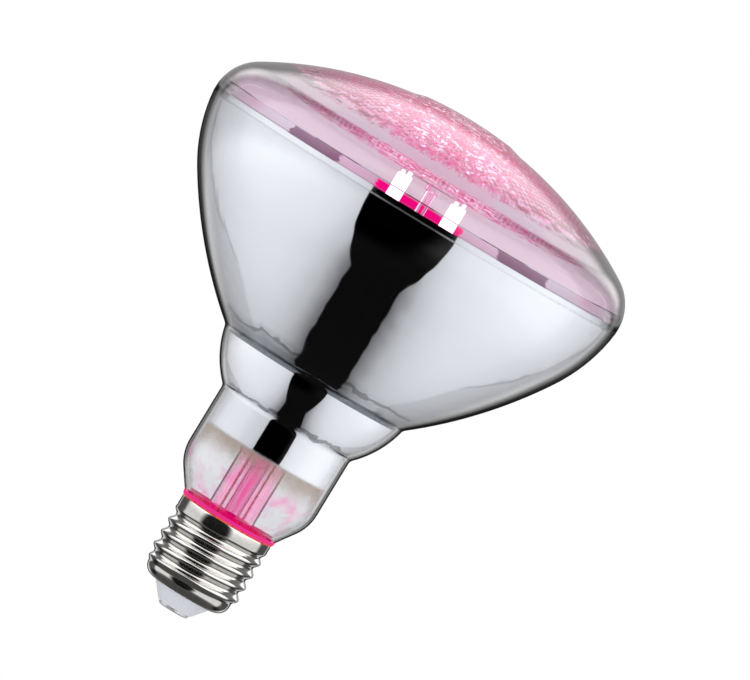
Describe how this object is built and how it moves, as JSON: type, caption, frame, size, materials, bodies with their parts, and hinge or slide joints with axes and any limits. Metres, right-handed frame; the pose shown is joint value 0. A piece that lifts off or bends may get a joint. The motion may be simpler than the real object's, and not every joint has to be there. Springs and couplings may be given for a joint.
{
  "type": "led grow light bulb",
  "caption": "Reflector plant lamp with a dimpled lens over LED filaments, a mirrored glass body and a screw base.",
  "frame": {"origin": "middle of the centre contact's underside, the lowest point of the screw base", "axes": "+Z runs along the lamp's axis from the base to the lens; +X and +Y are across it"},
  "size_m": [0.12, 0.12, 0.1472],
  "materials": {
    "lens_glass": "clear pressed glass, lit pink",
    "body_glass": "clear glass, mirror coat inside",
    "nickel": "bright nickel plate",
    "white_insulator": "satin",
    "contact_metal": "worn plate",
    "cement": "matt, lit red",
    "stem_glass": "clear glass",
    "filament_coat": "lit coating",
    "strip_metal": "stamped strip",
    "copper_wire": "drawn wire",
    "board_laminate": "solder mask",
    "capacitor_can": "sleeved can",
    "choke_ferrite": "ferrite",
    "black_package": "moulded",
    "resistor_ceramic": "lacquered"
  },
  "bodies": {
    "root": {"front_lens": "lens_glass", "reflector_body": "body_glass", "screw_shell": "nickel", "cap_insulator": "white_insulator", "centre_contact": "contact_metal", "basing_cement": "cement", "stem_flare": "stem_glass", "exhaust_tube": "stem_glass", "centre_post": "stem_glass", "led_filament_1": "filament_coat", "led_filament_2": "filament_coat", "led_filament_3": "filament_coat", "led_filament_4": "filament_coat", "upper_anchor": "strip_metal", "lower_yoke_live": "strip_metal", "lower_yoke_neutral": "strip_metal", "lead_wire_live": "copper_wire", "lead_wire_neutral": "copper_wire", "contact_wire": "copper_wire", "shell_wire": "copper_wire", "driver_board": "board_laminate", "smoothing_capacitor": "capacitor_can", "choke": "choke_ferrite", "bridge_rectifier": "black_package", "driver_chip": "black_package", "fuse_resistor": "resistor_ceramic"}
  },
  "joints": []
}
